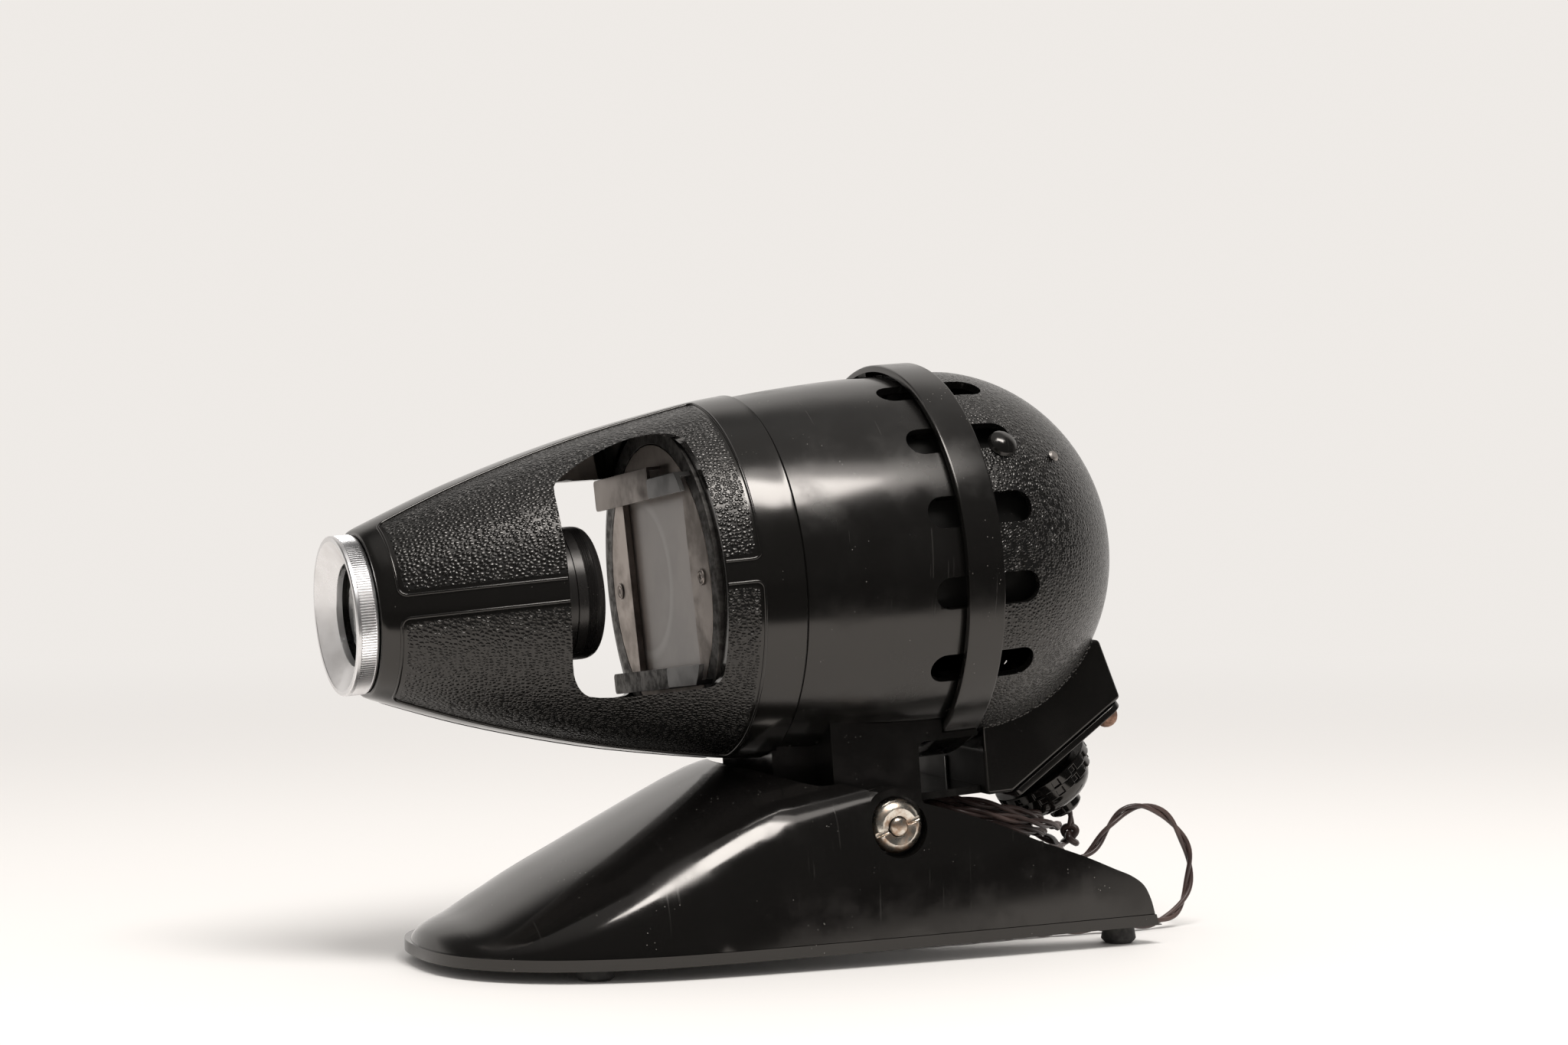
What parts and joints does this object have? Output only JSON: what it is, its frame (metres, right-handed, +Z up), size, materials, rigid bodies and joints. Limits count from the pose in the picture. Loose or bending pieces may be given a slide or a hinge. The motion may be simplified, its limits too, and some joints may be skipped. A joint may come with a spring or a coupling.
{
  "type": "slide projector",
  "caption": "Table-top slide projector: a cone-nosed round lamp house tilts on a boat-shaped moulded base, with a screw-focus lens, open slide gate, vent slots and a stowed twin lead.",
  "frame": {"origin": "on the floor under the middle of the projector's bounding box, its lead left out", "axes": "+Z up, +X rearwards from the lens to the lamp end (the longest extent), +Y across the projector to its far side (the shortest extent)"},
  "size_m": [0.3005, 0.1298, 0.1907],
  "materials": {
    "aluminium": "turned and knurled, satin",
    "bakelite": "black phenolic moulding, polished, with fine wear",
    "black_metal": "black lacquered metal",
    "brass": "plain brass",
    "bulb_glass": "clear lamp glass",
    "cord": "brown insulated twin flex",
    "glass": "clear optical glass",
    "grained": "black phenolic moulding with a fine leather grain",
    "mirror": "silvered dish",
    "nickel": "nickel plate worn through to the brass",
    "rubber": "soft black rubber",
    "steel": "tarnished plated steel"
  },
  "bodies": {
    "base": {"base_shell": "bakelite", "foot_front_near": "rubber", "foot_front_far": "rubber", "foot_rear_near": "rubber", "foot_rear_far": "rubber", "pivot_rod": "steel", "pivot_washer_near": "steel", "pivot_washer_far": "steel", "cord_tail": "cord", "plug_body": "bakelite", "plug_pin_near": "brass", "plug_pin_far": "brass"},
    "head": {"lamp_house": "bakelite", "rear_cap": "grained", "band_ring": "bakelite", "pivot_saddle": "bakelite", "chute_cover": "bakelite", "cover_screw": "nickel", "lampholder_body": "bakelite", "lamp_cap": "brass", "lamp_bulb": "bulb_glass", "reflector": "mirror", "reflector_strap": "steel", "reflector_rivet_near": "brass", "reflector_rivet_far": "brass", "condenser_mount": "black_metal", "condenser_front": "glass", "condenser_rear": "glass", "cord_lead": "cord", "cord_knot": "cord", "cord_hank": "cord"},
    "nose": {"nose_shell": "grained", "stage_seat": "black_metal", "slide_stage": "steel", "heat_glass": "glass", "slide_rail_top": "steel", "slide_rail_bottom": "steel", "rail_clip_top": "black_metal", "rail_clip_bottom": "black_metal", "stage_screw_near": "steel", "stage_screw_far": "steel"},
    "lens_optics": {"front_element": "glass", "rear_element": "glass", "rear_retainer": "black_metal"},
    "lens_barrel": {"lens_tube": "black_metal", "lens_ring": "aluminium"},
    "nut_near": {"pivot_nut_near": "nickel"},
    "nut_far": {"pivot_nut_far": "nickel"},
    "clamp_ring_body": {"clamp_ring": "bakelite"},
    "lock_ring_body": {"lock_ring": "bakelite"},
    "catch_near": {"catch_button_near": "bakelite"},
    "catch_far": {"catch_button_far": "bakelite"}
  },
  "joints": [
    {"name": "head_tilt", "type": "hinge", "parent": "base", "child": "head", "pos_m": [0.03784, 0, 0.0434], "axis": [0, 1, 0], "range_deg": [0, 15], "deforming": ["cord_tail"]},
    {"name": "pivot_nut_near_turn", "type": "hinge", "parent": "base", "child": "nut_near", "pos_m": [0.03784, -0.046, 0.0434], "axis": [0, -1, 0], "range_deg": [-90, 180]},
    {"name": "pivot_nut_far_turn", "type": "hinge", "parent": "base", "child": "nut_far", "pos_m": [0.03784, 0.046, 0.0434], "axis": [0, 1, 0], "range_deg": [-90, 180]},
    {"name": "nose_turn", "type": "hinge", "parent": "head", "child": "nose", "pos_m": [0.00206, 0, 0.12108], "axis": [0.9972, 0, 0.075], "range_deg": [-4, 10]},
    {"name": "focus_slide", "type": "slide", "parent": "nose", "child": "lens_optics", "axis": [-0.9972, 0, -0.075], "range_m": [0, 0.018]},
    {"name": "focus_turn", "type": "hinge", "parent": "lens_optics", "child": "lens_barrel", "pos_m": [-0.13206, 0, 0.111], "axis": [-0.9972, 0, -0.075], "range_deg": [0, 1300]},
    {"name": "clamp_ring_turn", "type": "hinge", "parent": "head", "child": "clamp_ring_body", "pos_m": [0.10436, 0, 0.06394], "axis": [0.6021, 0, -0.7984], "continuous": true},
    {"name": "lock_ring_turn", "type": "hinge", "parent": "head", "child": "lock_ring_body", "pos_m": [0.10436, 0, 0.06394], "axis": [0.6021, 0, -0.7984], "continuous": true},
    {"name": "catch_near_press", "type": "slide", "parent": "head", "child": "catch_near", "axis": [-0.0516, 0.7885, -0.6128], "range_m": [0, 0.0012], "stiffness_N_per_m": 400, "springref_m": -0.002},
    {"name": "catch_far_press", "type": "slide", "parent": "head", "child": "catch_far", "axis": [-0.0516, -0.7885, -0.6128], "range_m": [0, 0.0012], "stiffness_N_per_m": 400, "springref_m": -0.002}
  ],
  "couplings": [
    {"joint": "focus_turn", "follows": "focus_slide", "rad_per_m": 1256.6}
  ]
}
